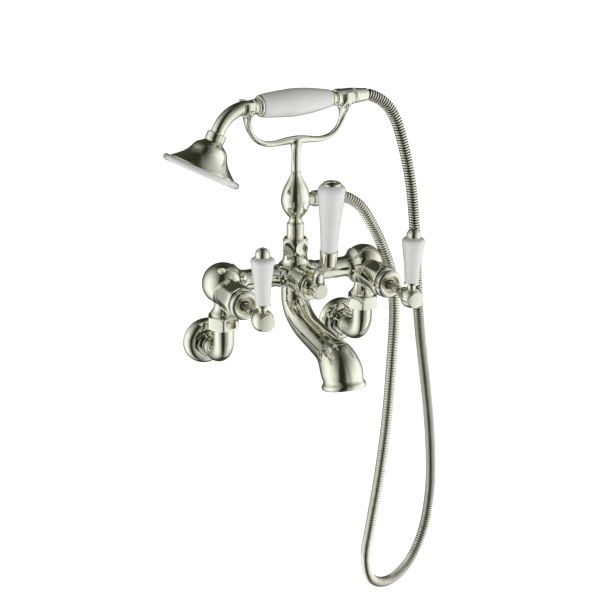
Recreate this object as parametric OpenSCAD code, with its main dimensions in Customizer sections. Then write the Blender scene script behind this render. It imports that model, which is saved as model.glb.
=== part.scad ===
// Wall mounted bath and shower mixer with a telephone handset, ceramic levers and a metal hose.
// Frame: +Z is up, the wall is the plane y = 0 and the mixer stands out along -Y.
// The origin lies on the wall, midway between the two wall inlets, at their height.

/* [Wall connection] */
// Distance between the two wall inlets
inlet_spacing = 180; // [170:1:190]
// How far the valves stand out from the wall
reach = 62; // [60:1:66]
// Radius of the swan-neck pipes
pipe_r = 12; // [11:0.5:12]
// Radius of the wall flanges
flange_r = 28; // [26:1:32]
// Width across the flats of the union nuts
nut_flats = 35; // [34:0.5:37]

/* [Valves] */
// Height of the bridge and the valve globes above the inlets
bridge_z = 90.5; // [90:0.5:92]
// Height of the lever spindles above the inlets
spindle_z = 84; // [83.8:0.1:84.2]
// Radius of the valve globes
globe_r = 24; // [23:0.5:25]
// Radius of the bridge bars
bar_r = 12; // [11:0.5:12.5]
// Distance of the lever hubs from the wall
hub_out = 174; // [172:1:178]
// Length of the white ceramic of a valve lever
lever_len = 51; // [48:1:58]
// Largest radius of the white ceramic of a valve lever
lever_r = 12.6; // [11.6:0.2:14]

/* [Diverter] */
// Height of the diverter spindle above the inlets
diverter_z = 88.5; // [87.5:0.5:89.5]
// Length of the white ceramic of the diverter lever
diverter_len = 75; // [70:1:80]
// Largest radius of the white ceramic of the diverter lever
diverter_r = 15; // [14:0.2:16]
// Forward lean of the diverter lever in degrees
diverter_lean = 3.5; // [2:0.5:5]

/* [Spout] */
// Distance of the spout mouth from the wall
spout_out = 190; // [186:1:194]
// Height of the middle of the spout's lip, measured from the inlets
spout_z = -1; // [-3:0.5:1]
// Outer radius of the lip at the spout mouth
lip_r = 24.3; // [23.5:0.1:25]
// How far the mouth faces outward, in degrees from straight down
mouth_tilt = 15; // [10:1:20]

/* [Riser and cradle] */
// Largest radius of the onion-shaped bulb
bulb_r = 16.9; // [16:0.1:18]
// Height of the hose outlet on the bulb
outlet_z = 177.5; // [176.5:0.5:178.5]
// Distance of each cradle fork from the middle
fork_x = 61.5; // [60.5:0.5:62]
// Height of the handset axis at its middle
handset_z = 289.5; // [288.5:0.5:291]
// Slope of the resting handset in degrees
handset_tilt = 1; // [0.5:0.5:1.5]
// Turn of the cradle about the riser in degrees, as it was tightened
cradle_turn = 5; // [0:1:6]

/* [Handset and hose] */
// Radius of the white ring of the shower rose
rose_r = 44; // [42:1:46]
// Length of the white ceramic of the handle
handle_len = 88.5; // [88:0.5:89]
// Largest radius of the white ceramic of the handle
handle_r = 15.5; // [14.5:0.5:16]
// Outer diameter of the metal hose
hose_d = 13.5; // [12:0.5:14]

/* [Hidden] */
$fn = 64;

left = -1;
right = 1;
nickel = [0.80, 0.79, 0.72];
white = [0.96, 0.96, 0.95];
brass = [0.80, 0.65, 0.35];
black = [0.12, 0.12, 0.12];
grey = [0.6, 0.6, 0.6];

// Radial running gap between a spigot or spindle and its bore
gap = 0.05;
// Radius of the water ways
water_r = 8;
// Inlet tail: an external G3/4 pipe thread, drawn at its major radius
tail_r = 13.2;
tail_len = 16;
bend_r = 25;
shoulder_r = 13.6;
// Union: the nut, the elbow's shoulder, the washer and the valve's threaded tail
nut_z = 37;
nut_h = 16;
shoulder_z = nut_z + 4.2;
washer_z = nut_z + 7.2;
valve_tail_z = nut_z + 9;
valve_tail_r = 14;
// Valve front: each distance is measured from the wall
boss_r = 18;
boss_out = reach + 21.5;
thread_r = 15.5;
thread_out = reach + 30;
bonnet_out = 119;
chamber_r = 11;
shroud_out = 129;
shaft_r = 4;
stem_r = 5;
hub_r = 12.2;
disc_r = 9.3;
disc_out = hub_out + 10.5;
lever_neck = 18.5;
lever_z = spindle_z + lever_neck;
rod_r = 2.5;
finial_r = 7.9;
// Bridge and centre body
socket_x = inlet_spacing / 2 - 28;
arm_x = 24;
spigot_r = 9;
centre_r = 18.5;
neck_top = 114;
neck_bottom = 65.5;
spout_r = 16;
// Diverter front
housing_r = 17;
housing_out = 94;
bezel_out = 103;
diverter_hub_out = 130;
lever_foot = [0, -146.5, 125];
collar_len = 16.5;
collar_r = 10.2;
// Riser
collar_h = 20;
collar_ball = 16.1;
collar_flat = 14.4;
collar_turn = 5;
riser_r = 10.1;
bulb_z = 155.5;
yoke_z = 211.5;
nipple_r = 7;
outlet_x = 27;
outlet_nut_x = 56;
// Handset, measured along its own axis from the middle of the handle
handle_left = -42.5;
handle_right = handle_left + handle_len;
ferrule_end = 75;
hose_nut_end = 94;
handset_shift = -2;
elbow_start = -60.5;
elbow_r = 38;
elbow_angle = 62.3;
elbow_reach = 4.5;
tube_r = 7.6;
fork_play = 1.8;
ferrule_r = 9.4;
rose_bell_at = 9.5;
rose_ring_at = 40.4;
rose_ring_h = 7;

// Points of an elliptic arc round c with radii r, from angle a to angle b
function arc(c, r, a, b, n = 8) =
    [for (i = [0:n]) let (t = a + (b - a) * i / n) [c[0] + r[0] * cos(t), c[1] + r[1] * sin(t)]];
// Point at t on the smooth curve through b and c, with a and d as their outer neighbours
function curve_point(a, b, c, d, t) =
    b + t * (c - a) / 2 + t * t * (a - 2.5 * b + 2 * c - d / 2)
    + t * t * t * (1.5 * (b - c) + (d - a) / 2);
// Smooth curve through the points p, with n steps between neighbours
function smooth(p, n = 4) = let (k = len(p) - 1) concat(
    [for (i = [0:k - 1], j = [0:n - 1])
        curve_point(p[max(i - 1, 0)], p[i], p[i + 1], p[min(i + 2, k)], j / n)],
    [p[k]]);
function unit(v) = v / norm(v);
// Tangent of the path p at its point i
function tangent(p, i) = unit(p[min(i + 1, len(p) - 1)] - p[max(i - 1, 0)]);
// One ring round the path: r holds the radius along the side axis and the one across it
function ring(p, i, r, side, sides) =
    let (t = tangent(p, i), u = unit(side - (side * t) * t), v = cross(t, u))
    [for (k = [0:sides - 1]) let (a = 360 * k / sides) p[i] + u * r[0] * cos(a) + v * r[1] * sin(a)];
// Solid swept along the path p, with radii r[i] at its point i
module sweep(p, r, side, sides) {
    rings = len(p);
    points = [for (i = [0:rings - 1]) each ring(p, i, r[i], side, sides)];
    walls = [for (i = [0:rings - 2], k = [0:sides - 1]) let (m = (k + 1) % sides)
        [i * sides + k, (i + 1) * sides + k, (i + 1) * sides + m, i * sides + m]];
    first = [for (k = [0:sides - 1]) k];
    last = [for (k = [sides - 1:-1:0]) (rings - 1) * sides + k];
    polyhedron(points = points, faces = concat(walls, [first, last]), convexity = 8);
}

// Frames: out from the wall, along the bridge, and the handset's own axis
module outward(x, out, z) translate([x, -out, z]) rotate([90, 0, 0]) children();
module sideways(side, z) translate([0, -reach, z]) rotate([0, 90 * side, 0]) children();
module at_valve(side) translate([side * inlet_spacing / 2, 0, 0]) children();
module at_cradle() translate([0, -reach, 0]) rotate(cradle_turn) children();
module at_handset() at_cradle() translate([0, 0, handset_z]) rotate([0, -handset_tilt, 0])
    translate([handset_shift, 0, 0]) children();
module along_handset() at_handset() rotate([0, 90, 0]) children();
// The rose's axis starts where the elbow ends and points down and to the left
module along_rose() at_handset()
    translate([elbow_start - elbow_r * sin(elbow_angle), 0, -elbow_r * (1 - cos(elbow_angle))])
    rotate([0, -90 - elbow_angle, 0]) translate([0, 0, elbow_reach]) children();
// Solid of revolution between z = 0 and above, from an outline of [radius, height] points
module turned(outline) rotate_extrude() polygon(outline);
module drill(r, h) translate([0, 0, -0.5]) cylinder(r = r, h = h + 1);
module pipe(r, bore, h) difference() {
    cylinder(r = r, h = h);
    drill(bore, h);
}

// ---- Wall connection ----
module wall_flange(side) color(nickel) at_valve(side) outward(0, 0, 0) difference() {
    turned(concat([[13.6, 0], [flange_r, 0]], arc([17.5, 1.5], [flange_r - 17.5, 11], 0, 90, 10),
        arc([17.5, 9.5], [3.9, 3], 90, 180, 5)));
    translate([0, 0, -0.1])
        turned(concat([[15.4, 0], [flange_r - 2, 0]], arc([17.5, 1], [flange_r - 19.5, 9.4], 0, 90, 8),
            [[15.4, 10.4]]));
}
module bend(r) translate([0, -reach + bend_r, bend_r]) rotate([90, 0, -90]) rotate([0, 0, -90])
    rotate_extrude(angle = 90) translate([bend_r, 0]) circle(r = r);
module inlet_elbow(side) color(nickel) at_valve(side) difference() {
    union() {
        outward(0, -tail_len, 0) turned([[0, 0], [tail_r - 1, 0], [tail_r, 1], [tail_r, tail_len - 1],
            [pipe_r, tail_len - 1], [pipe_r, tail_len + reach - bend_r], [0, tail_len + reach - bend_r]]);
        outward(0, 13.2, 0) turned([[0, 0], [14.2, 0], [15.2, 0.8], [15.2, 4.2], [14.2, 5], [0, 5]]);
        bend(pipe_r);
        translate([0, -reach, bend_r]) cylinder(r = pipe_r, h = shoulder_z - bend_r);
        translate([0, -reach, shoulder_z]) cylinder(r = shoulder_r, h = washer_z - shoulder_z);
    }
    // The bend's bore is a little narrower, so the straight bores can run into it
    outward(0, -tail_len, 0) drill(pipe_r - 3, tail_len + reach - bend_r);
    bend(pipe_r - 3.4);
    translate([0, -reach, bend_r]) drill(pipe_r - 3, washer_z - bend_r);
}
module union_nut(side) color(nickel) at_valve(side) translate([0, -reach, nut_z]) difference() {
    intersection() {
        rotate(side == left ? 8 : 3) cylinder(r = nut_flats / 2 / cos(30), h = nut_h, $fn = 6);
        turned([[0, 0], [nut_flats / 2, 0], [nut_flats / 2 + 3, 1.9], [nut_flats / 2 + 3, nut_h - 1.9],
            [nut_flats / 2, nut_h], [0, nut_h]]);
    }
    drill(pipe_r + 0.2, nut_h);
    translate([0, 0, shoulder_z - nut_z]) drill(valve_tail_r + gap, nut_h);
}
module union_washers() color(grey) for (side = [left, right]) at_valve(side)
    translate([0, -reach, washer_z]) pipe(13.2, 9, valve_tail_z - washer_z);

// ---- Valves ----
module bar_socket() turned(concat([[0, 0]], smooth([[bar_r, 0], [bar_r + 0.5, 4], [bar_r + 2.6, 8.5],
    [bar_r + 6.4, 12], [bar_r + 8.8, 14]]), [[0, 16]]));
module valve_body(side) color(nickel) difference() {
    union() {
        at_valve(side) translate([0, -reach, bridge_z]) sphere(globe_r);
        at_valve(side) translate([0, -reach, 0]) turned(concat([[0, valve_tail_z],
            [valve_tail_r, valve_tail_z], [valve_tail_r, 53.8], [14.9, 54.4], [14.9, 56.2]],
            smooth([[14.4, 56.8], [12.2, 60], [10.8, 63.5], [10.4, 67], [11.2, 71], [14, 75]]), [[0, 78]]));
        at_valve(side) outward(0, reach, spindle_z) cylinder(r = boss_r, h = boss_out - reach);
        at_valve(side) outward(0, reach, spindle_z) cylinder(r = thread_r, h = thread_out - reach);
        sideways(side, bridge_z) translate([0, 0, socket_x]) bar_socket();
    }
    at_valve(side) translate([0, -reach, valve_tail_z]) drill(water_r, spindle_z - valve_tail_z);
    at_valve(side) outward(0, reach - 2, spindle_z) drill(chamber_r, thread_out - reach + 2);
    sideways(side, bridge_z) translate([0, 0, socket_x]) drill(spigot_r, 9);
    sideways(side, bridge_z) translate([0, 0, socket_x]) drill(6.5, 28);
    if (side == left) plug_seat() drill(3.3, 3);
}
// A blanked tapping high on the front of the left globe
module plug_seat() at_valve(left) translate([0, -reach, bridge_z]) rotate([36, 0, -22])
    translate([0, 0, globe_r - 3]) children();
module tapping_plug() color(nickel) plug_seat()
    turned([[0, -0.5], [3.25, -0.5], [3.25, 3.6], [2.8, 4.1], [0, 4.3]]);
// Ceramic disc cartridge: the fixed disc is part of its closed unit
module cartridge(side) color(brass) at_valve(side) outward(0, reach + 10, spindle_z) difference() {
    turned([[0, 0], [chamber_r - gap, 0], [chamber_r - gap, 33], [9, 34], [9, 44], [0, 44]]);
    drill(shaft_r + gap, 44);
    translate([0, 0, 3]) cylinder(r = 7.6, h = 5.1);
    translate([0, 0, 36]) cylinder(r = 5.9, h = 3);
}
module ceramic_disc(side) color(white) at_valve(side) outward(0, reach + 13.05, spindle_z)
    cylinder(r = 7.5, h = 2.4);
module spindle_seals() color(black) {
    for (side = [left, right]) at_valve(side) outward(0, reach + 46.1, spindle_z)
        pipe(5.85, shaft_r + gap, 2.8);
    outward(0, 92.1, diverter_z) pipe(5.85, shaft_r + gap, 2.8);
}
// Octagonal cover of the cartridge, with rounded shoulders at both ends
module bonnet(side) color(nickel) at_valve(side) outward(0, boss_out, spindle_z) difference() {
    intersection() {
        rotate(22.5) cylinder(r = boss_r / cos(22.5), h = bonnet_out - boss_out, $fn = 8);
        turned(concat([[0, 0], [boss_r - 0.8, 0], [boss_r + 1.1, 1.6]],
            arc([boss_r - 4.9, bonnet_out - boss_out - 6], [6, 6], 0, 75, 6),
            [[0, bonnet_out - boss_out]]));
    }
    drill(chamber_r + 0.2, bonnet_out - boss_out);
    translate([0, 0, -1]) cylinder(r = thread_r + 3 * gap, h = thread_out - boss_out + 1.3);
}
// Bell-shaped front of the valve: a dark groove, a rounded rim and a hollow face
module shroud(side) color(nickel) at_valve(side) outward(0, bonnet_out, spindle_z)
    front_bell(16.6, 9.1, stem_r + 0.4);
module front_bell(r, bore, front_bore) difference() {
    turned(concat([[0, 0], [r - 2.2, 0], [r - 2.2, 1.8]], arc([r - 2, 4], [2, 2.2], -60, 60, 6),
        smooth([[r - 3, 6.6], [r - 7, 8.6], [front_bore + 2.6, 9.6]]),
        [[front_bore + 1.6, 10], [0, 10]]));
    drill(front_bore, 10);
    translate([0, 0, -0.5]) cylinder(r = bore, h = 5.5);
}
module spindle(side) color(nickel) at_valve(side) difference() {
    union() {
        outward(0, reach + 15.5, spindle_z) cylinder(r = 7.4, h = 2.4);
        outward(0, reach + 17.5, spindle_z) cylinder(r = shaft_r, h = hub_out - reach - 35);
        outward(0, reach + 55, spindle_z) turned(concat([[0, 0], [stem_r, 0], [stem_r, 32]],
            smooth([[stem_r + 0.2, 33], [stem_r + 1.4, 38], [stem_r + 2.6, 42]]),
            [[stem_r + 2.6, 44], [0, 44]]));
    }
    // Flutes along the visible stem
    for (i = [0:7]) outward(0, 131, spindle_z) rotate(i * 45 + 10)
        translate([stem_r + 0.55, 0, 0]) cylinder(r = 1.15, h = 17, $fn = 16);
    translate([0, -hub_out, spindle_z]) sphere(hub_r);
}
module lever_hub(side) color(nickel) at_valve(side) difference() {
    union() {
        translate([0, -hub_out, spindle_z]) sphere(hub_r);
        outward(0, hub_out, spindle_z) turned([[0, 0], [disc_r, 0], [disc_r, 9.7],
            [disc_r - 0.8, 10.5], [0, 10.5]]);
        translate([0, -hub_out, spindle_z]) turned([[0, 0], [4.8, 0], [4.8, lever_neck - 3.9],
            [5.6, lever_neck - 2.9], [8.4, lever_neck - 2.6], [8.4, lever_neck - 0.5], [8, lever_neck],
            [0, lever_neck]]);
    }
    translate([0, -hub_out, spindle_z + 6]) drill(rod_r + gap, lever_neck - 6);
}
function lever_outline(r_foot, r_max, r_top, h) = smooth([[r_foot, 0], [r_foot + 0.2, 0.08 * h],
    [r_foot + 0.24 * (r_max - r_foot), 0.35 * h], [r_foot + 0.62 * (r_max - r_foot), 0.63 * h],
    [r_max - 0.4, 0.84 * h], [r_max, 0.91 * h], [r_max - 1, 0.962 * h], [r_top + 1, 0.995 * h], [r_top, h]]);
module lever_ceramic(side) color(white) at_valve(side) translate([0, -hub_out, lever_z]) difference() {
    turned(concat([[0, 0]], lever_outline(8, lever_r, 7.6, lever_len), [[0, lever_len]]));
    drill(rod_r + 0.3, lever_len);
}
module lever_rod(side) color(brass) at_valve(side) translate([0, -hub_out, lever_z - 9])
    cylinder(r = rod_r, h = lever_len + 15);
module lever_finial(side) color(nickel) at_valve(side)
    translate([0, -hub_out, lever_z + lever_len]) difference() {
    turned(concat([[0, 0], [finial_r - 0.3, 0], [finial_r, 0.5]],
        arc([0, 2.4], [finial_r, finial_r - 0.2], 0, 90, 10)));
    translate([0, 0, -0.5]) cylinder(r = rod_r + gap, h = 6.8);
}

// ---- Bridge and centre body ----
module bridge_bar(side) color(nickel) sideways(side, bridge_z) difference() {
    union() {
        translate([0, 0, arm_x]) cylinder(r = bar_r, h = socket_x - arm_x);
        translate([0, 0, arm_x - 8]) cylinder(r = spigot_r - gap, h = socket_x - arm_x + 16);
    }
    translate([0, 0, arm_x - 8]) drill(6.5, socket_x - arm_x + 16);
}
module centre_body() color(nickel) difference() {
    union() {
        translate([0, -reach, bridge_z]) sphere(centre_r);
        for (side = [left, right]) sideways(side, bridge_z) turned(concat([[0, 0]],
            smooth([[bar_r + 4.5, 12], [bar_r + 2.2, 16], [bar_r + 1.4, 20]]), [[bar_r + 1.4, 22.6],
            [bar_r + 0.6, arm_x], [0, arm_x]]));
        translate([0, -reach, neck_top]) turned(concat([[0, -18.5]],
            smooth([[19.5, -12], [16, -8.5], [14.3, -4.5], [13.8, 0]]), [[0, 0]]));
        translate([0, -reach, neck_bottom]) cylinder(r = spout_r, h = 22);
        outward(0, reach, diverter_z) turned([[0, 0], [housing_r, 0], [housing_r, housing_out - reach],
            [0, housing_out - reach]]);
        outward(0, 40, bridge_z) turned([[0, 0], [9, 0], [10, 1], [10, 10], [0, 10]]);
    }
    for (side = [left, right]) sideways(side, bridge_z) translate([0, 0, 14]) drill(spigot_r, 11);
    sideways(left, bridge_z) drill(6.5, 20);
    sideways(right, bridge_z) drill(6.5, 20);
    outward(0, reach - 4, diverter_z) drill(13, housing_out - reach + 4);
    translate([0, -reach, neck_top - 14]) drill(nipple_r, 14);
    translate([0, -reach, bridge_z]) drill(4, 14);
    translate([0, -reach, neck_bottom]) drill(10, 14);
}

// ---- Diverter ----
module diverter_bezel() color(nickel) outward(0, housing_out, diverter_z) difference() {
    turned(concat([[0, 0], [housing_r, 0], [18.4, 1.2], [18.4, 7.4]],
        arc([17.2, 7.8], [1.2, 1.2], 0, 90, 4), [[0, 9]]));
    drill(15.4, 9);
}
module diverter_cartridge() color(brass) outward(0, 70, diverter_z) difference() {
    turned([[0, 0], [13 - gap, 0], [13 - gap, 20], [8.4, 21], [8.4, 30], [0, 30]]);
    drill(shaft_r + gap, 30);
    translate([0, 0, 4]) cylinder(r = 9, h = 6.1);
    translate([0, 0, 22]) cylinder(r = 5.9, h = 3);
}
module diverter_shroud() color(nickel) outward(0, 96, diverter_z) difference() {
    turned(concat([[0, 0]], smooth([[11.2, 0], [11.4, 4], [12.6, 8], [15, 11.5]]),
        [[15.2, 13.6]], arc([14, 13.8], [1.2, 1.4], 20, 90, 4), [[11, 14], [8.2, 12.6], [0, 12.6]]));
    drill(shaft_r + gap, 14);
    translate([0, 0, -0.5]) cylinder(r = 8.45, h = 5);
}
module diverter_spindle() color(nickel) {
    outward(0, 74.05, diverter_z) cylinder(r = 8.8, h = 3);
    outward(0, 76, diverter_z) cylinder(r = shaft_r, h = diverter_hub_out - 90);
}
// The lever's own frame: it stands on the end of the arm and leans forward
module at_diverter_lever(h = 0) translate(lever_foot) rotate([diverter_lean, 0, 0])
    translate([0, 0, h]) children();
module diverter_arm() color(nickel) difference() {
    union() {
        outward(0, 112, diverter_z) turned(concat([[0, 0], [7.8, 0]],
            smooth([[8.6, 1.2], [9.3, 4], [9.5, 8]]), [[9.5, 17], [8.7, diverter_hub_out - 112],
            [0, diverter_hub_out - 112]]));
        sweep(arm_path, arm_radii, [1, 0, 0], 24);
        at_diverter_lever(-1.5) turned([[0, 0], [6.6, 0], [8, 1.5], [0, 1.5]]);
    }
    at_diverter_lever() cylinder(r = 16, h = 20);
    outward(0, 105, diverter_z) drill(shaft_r + gap, diverter_hub_out - 119);
    at_diverter_lever(-6) drill(rod_r + gap, 8);
}
arm_path = smooth([[0, -121, 91], [0, -121, 99], [0, -122.5, 107], [0, -127.5, 114], [0, -135, 119.5],
    [0, -143, 124], [0, -149, 128]], 3);
arm_radii = [for (i = [0:len(arm_path) - 1]) [7.2 - 1.2 * sin(i * 10), 6.4 - 1.2 * sin(i * 10)]];
module diverter_collar() color(nickel) at_diverter_lever() difference() {
    turned([[0, 0], [8.4, 0], [9.2, 0.9], [collar_r - 0.3, collar_len - 2.4],
        [collar_r, collar_len - 1.4], [collar_r, collar_len], [0, collar_len]]);
    drill(rod_r + gap, collar_len);
    translate([0, 0, collar_len - 2.5]) cylinder(r = 9.4, h = 3);
}
module diverter_ceramic() color(white) at_diverter_lever(collar_len - 2.5) difference() {
    turned(concat([[0, 0]], lever_outline(9.2, diverter_r, 10.4, diverter_len + 2.5),
        [[0, diverter_len + 2.5]]));
    drill(rod_r + 0.3, diverter_len + 2.5);
}
module diverter_rod() color(brass) at_diverter_lever(-5.5)
    cylinder(r = rod_r, h = collar_len + diverter_len + 6.5);
module diverter_cap() color(nickel) at_diverter_lever(collar_len + diverter_len) difference() {
    turned(concat([[0, 0], [10, 0]], arc([0, 0.6], [10, 3.2], 0, 90, 8)));
    translate([0, 0, -0.5]) cylinder(r = rod_r + gap, h = 1.8);
}

// ---- Spout ----
// Centre line in the plane x = 0 as [distance from the wall, height, radius]
spout_line = concat([[reach, neck_bottom, spout_r]], smooth([[reach, neck_bottom - 1, spout_r],
    [reach + 1.5, 56.5, 16], [reach + 11, 45, 16], [reach + 32, 36, 16], [reach + 62, 31.5, 16.3],
    [spout_out - 37, 28.5, 17.5], [spout_out - 19.5, 24, 19.4], [spout_out - 8, 15.5, 21.2],
    [spout_out - 2.6, spout_z + 9, 21.6], [spout_out - 1.2, spout_z + 3, 21.4]], 2));
function shifted(line, wall) = [for (p = line) [p[2] - wall, p[2] - wall]];
function route(line) = [for (p = line) [0, -p[0], p[1]]];
module at_mouth(h = 0) translate([0, -spout_out, spout_z]) rotate([-mouth_tilt, 0, 0])
    translate([0, 0, h]) children();
module spout() color(nickel) difference() {
    union() {
        sweep(route(spout_line), shifted(spout_line, 0), [1, 0, 0], 32);
        translate([0, -reach, neck_bottom - 1]) cylinder(r = 9.9, h = 10);
        at_mouth(-2.6) turned(concat([[0, 0], [lip_r - 2.6, 0]],
            arc([lip_r - 2.4, 2.6], [2.4, 2.6], -80, 60, 6),
            smooth([[lip_r - 2, 5], [21.8, 7.4], [21, 10]]), [[18.6, 10], [0, 10]]));
    }
    sweep(route(spout_core), shifted(spout_core, 3.5), [1, 0, 0], 16);
    translate([0, -reach, neck_bottom - 8]) drill(7.5, 18);
    at_mouth(-2.6) drill(18.5, 7);
}
// The water way starts inside the closed upper end and opens into the mouth
spout_core = concat([[reach, neck_bottom - 3, spout_r]],
    [for (i = [3:len(spout_line) - 2]) spout_line[i]]);
// Perforated insert that straightens the stream
module spout_insert() color(grey) at_mouth(-1) difference() {
    cylinder(r = 18.5 - gap, h = 4);
    for (i = [1:2], k = [0:6 * i - 1]) rotate(60 * k / i) translate([6.4 * i, 0, 0]) drill(2, 4);
    drill(2, 4);
}

// ---- Riser and cradle ----
// Barrel-shaped nut with six round milled faces
module collar_nut() color(nickel) translate([0, -reach, neck_top]) difference() {
    intersection() {
        translate([0, 0, collar_h / 2]) sphere(collar_ball);
        rotate(collar_turn) cylinder(r = collar_flat / cos(30), h = collar_h, $fn = 6);
    }
    drill(nipple_r + gap, collar_h);
    translate([0, 0, 3.5]) cylinder(r = riser_r + gap, h = collar_h);
}
module riser_tube() color(nickel) translate([0, -reach, 0]) difference() {
    turned([[0, neck_top - 12], [nipple_r - gap, neck_top - 12], [nipple_r - gap, neck_top + 3.5],
        [riser_r, neck_top + 3.5], [riser_r, bulb_z - 5.5], [riser_r - 0.6, bulb_z - 4.2],
        [riser_r - 2.2, bulb_z - 2.4], [7.4, bulb_z - 1], [7.4, bulb_z], [0, bulb_z]]);
    translate([0, 0, neck_top - 12]) drill(5, bulb_z - neck_top + 12);
}
module riser_bulb() color(nickel) difference() {
    union() {
        translate([0, -reach, bulb_z]) turned(concat([[0, 0]], smooth([[6.9, 0], [7.1, 2.2],
            [10.2, 5.8], [14.4, 12], [bulb_r - 0.5, 18.5], [bulb_r, 24], [bulb_r - 1.4, 31],
            [12.8, 38.5], [8.8, 46], [6.2, 51.5], [5.3, yoke_z - bulb_z]]), [[0, yoke_z - bulb_z]]));
        sideways(right, outlet_z) turned([[0, 0], [7.6, 0], [7.6, outlet_x], [0, outlet_x]]);
    }
    translate([0, -reach, bulb_z]) drill(5, outlet_z - bulb_z);
    sideways(right, outlet_z) drill(5, outlet_x);
    translate([0, -reach, yoke_z - 8]) drill(2.6, 8);
}
module check_valve() color(black) sideways(right, outlet_z) translate([0, 0, 12]) pipe(5 - gap, 3, 12);
module outlet_washer() color(black) sideways(right, outlet_z) translate([0, 0, outlet_x])
    pipe(7.4, 4, 2);
module outlet_hose_nut() color(nickel) sideways(right, outlet_z) difference() {
    turned([[0, outlet_x - 6], [8.6, outlet_x - 6], [9.3, outlet_x - 5.2], [9.3, outlet_x + 9],
        [8.6, outlet_x + 10.5], [8.3, outlet_x + 13], [7.2, outlet_nut_x], [0, outlet_nut_x]]);
    translate([0, 0, outlet_x - 8]) drill(4, 40);
    translate([0, 0, outlet_x - 8]) cylinder(r = 7.6 + gap, h = 10);
}
// The bow of the cradle, in the plane of the riser
bow_half = [[0, 247.5], [13, 247], [28, 245.6], [41, 247], [51, 252.5], [57.5, 261], [60.5, 271]];
bow_path = smooth(concat([for (i = [len(bow_half) - 1:-1:1]) [-bow_half[i][0], 0, bow_half[i][1]]],
    [for (p = bow_half) [p[0], 0, p[1]]]), 3);
// Open fork on a triangular web. The handset's radius there is r, and it rests near the bottom
function fork_z(side) = handset_z + side * fork_x * tan(handset_tilt);
module fork(side, r) let (r_in = r + fork_play, wall = 3.6, z = fork_z(side) + fork_play - 0.4)
    difference() {
        union() {
            hull() {
                translate([side * 60.3, 0, 269]) rotate([0, 12 * side, 0])
                    cylinder(r = 3.4, h = 1, $fn = 24);
                fork_slice(side, z, 7.4) intersection() {
                    circle(r = r_in + wall - 0.5, $fn = 32);
                    translate([-20, -20]) square([40, 17]);
                }
            }
            fork_slice(side, z, 8) {
                circle(r = r_in + wall);
                translate([-r_in - wall, 0]) square([2 * (r_in + wall), 6]);
            }
        }
        translate([side * fork_x, 0, z]) rotate([90, 0, 90]) cylinder(r = r_in, h = 20, center = true);
        translate([side * fork_x - 10, -r_in, z]) cube([20, 2 * r_in, 20]);
    }
module fork_slice(side, z, thick) translate([side * fork_x, 0, z]) rotate([90, 0, 90])
    linear_extrude(thick, center = true) children();
module cradle_yoke() color(nickel) at_cradle() {
    turned(concat([[0, yoke_z]], smooth([[5.3, yoke_z], [5.1, 217], [5.1, 230], [5.8, 236.5],
        [8.2, 242], [11.5, 246]]), [[7, 249.5], [0, 252]]));
    sweep(bow_path, [for (p = bow_path) let (t = abs(p[0]) / 60.5)
        [4.6 - 0.8 * sin(180 * t), 3.8 - 1.1 * sin(140 * t)]], [0, 1, 0], 16);
    fork(left, tube_r);
    fork(right, ferrule_r);
}

// ---- Handset ----
module handset_elbow() color(nickel) difference() {
    union() {
        along_handset() turned([[0, elbow_start], [tube_r, elbow_start], [tube_r, -53], [8.4, -52.4],
            [8.4, handle_left - 6], [0, handle_left - 6]]);
        at_handset() elbow_bend(tube_r);
        along_rose() turned([[0, -elbow_reach], [tube_r, -elbow_reach], [tube_r, 0], [9.8, 0],
            [10.7, 0.8], [10.7, 8], [10, rose_bell_at], [0, rose_bell_at]]);
        // Cores that tie the bend to its two straight ends
        along_handset() translate([0, 0, elbow_start - 2]) cylinder(r = tube_r - 0.6, h = 4);
        along_rose() translate([0, 0, -elbow_reach - 2]) cylinder(r = tube_r - 0.6, h = 4);
    }
    along_handset() translate([0, 0, elbow_start]) drill(6.1, handle_left - elbow_start - 6);
    at_handset() elbow_bend(5.5);
    along_rose() translate([0, 0, -elbow_reach]) drill(5.8, rose_bell_at + elbow_reach);
}
module elbow_bend(r) translate([elbow_start, 0, -elbow_r]) rotate([90, 0, 0]) rotate([0, 0, 90])
    rotate_extrude(angle = elbow_angle) translate([elbow_r, 0]) circle(r = r);
module handle_ring() color(nickel) along_handset() difference() {
    translate([0, 0, handle_left]) turned([[0, -6], [8.8, -6], [9.5, -5.2], [9.5, -4.1], [8.9, -3.7],
        [11, -3.3], [11.7, -2.5], [11.7, -0.9], [11, 0], [0, 0]]);
    translate([0, 0, handle_left - 6]) drill(6.1, 6);
}
module handle_ceramic() color(white) along_handset() difference() {
    turned(concat([[0, handle_left]], smooth([[11.6, handle_left], [12.8, handle_left + 1.6], [14.2, -27],
        [handle_r - 0.2, -10], [handle_r, -1], [handle_r - 0.9, 14], [12.8, 28], [10.9, 39],
        [9.9, handle_right - 1.4], [8.9, handle_right]]), [[0, handle_right]]));
    translate([0, 0, handle_left]) drill(6.1, handle_len);
}
module handle_ferrule() color(nickel) along_handset() difference() {
    turned([[0, handle_right], [8.2, handle_right], [8.8, 46.8], [8.8, 48], [7.2, 49], [7.2, 51.4],
        [8.8, 52], [ferrule_r, 52.8], [ferrule_r, ferrule_end - 1.1], [8.6, ferrule_end],
        [0, ferrule_end]]);
    translate([0, 0, handle_right]) drill(6.1, ferrule_end - handle_right);
}
module handset_tube() color(brass) along_handset() translate([0, 0, -53]) pipe(6, 4.5, 122);
module handset_hose_nut() color(nickel) along_handset() difference() {
    translate([0, 0, ferrule_end]) turned([[0, 0], [8, 0], [8, 1.2], [8.9, 1.8], [8.9, 4],
        [8.4, 5], [7.2, hose_nut_end - ferrule_end - 0.8], [6.8, hose_nut_end - ferrule_end],
        [0, hose_nut_end - ferrule_end]]);
    translate([0, 0, ferrule_end]) drill(4.5, hose_nut_end - ferrule_end);
}
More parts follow.
